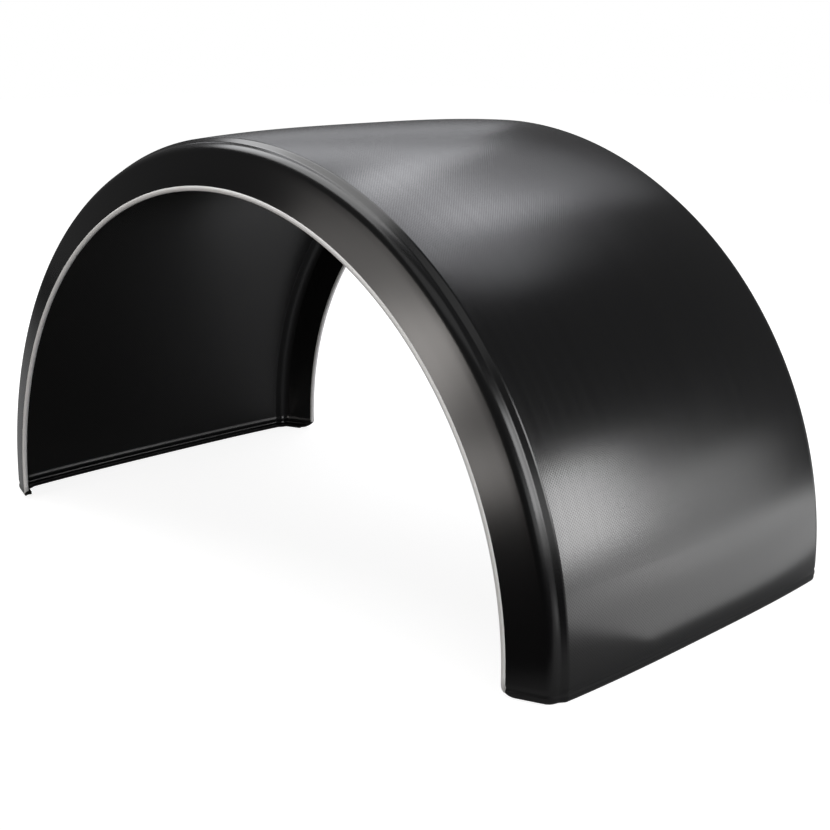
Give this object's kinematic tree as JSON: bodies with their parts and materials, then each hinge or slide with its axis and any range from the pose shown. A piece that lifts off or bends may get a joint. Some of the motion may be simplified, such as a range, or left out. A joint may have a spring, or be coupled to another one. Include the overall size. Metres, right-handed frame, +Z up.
{
  "type": "mudguard",
  "caption": "Half-round black plastic mudguard for a twin-tyred truck or trailer wheel, with side flanges, shoulder groove, rounded rims and turned-in leg ends.",
  "frame": {"origin": "on the ground plane, midway between the two leg ends and midway across the width", "axes": "+X along the vehicle, +Y across it along the wheel axle, +Z up"},
  "size_m": [1.218, 0.65, 0.636],
  "materials": {
    "black_polyethylene": "satin black moulded sheet with a fine diagonal grain on the crown and pale rims"
  },
  "bodies": {
    "root": {"mudguard_shell": "black_polyethylene"}
  },
  "joints": []
}
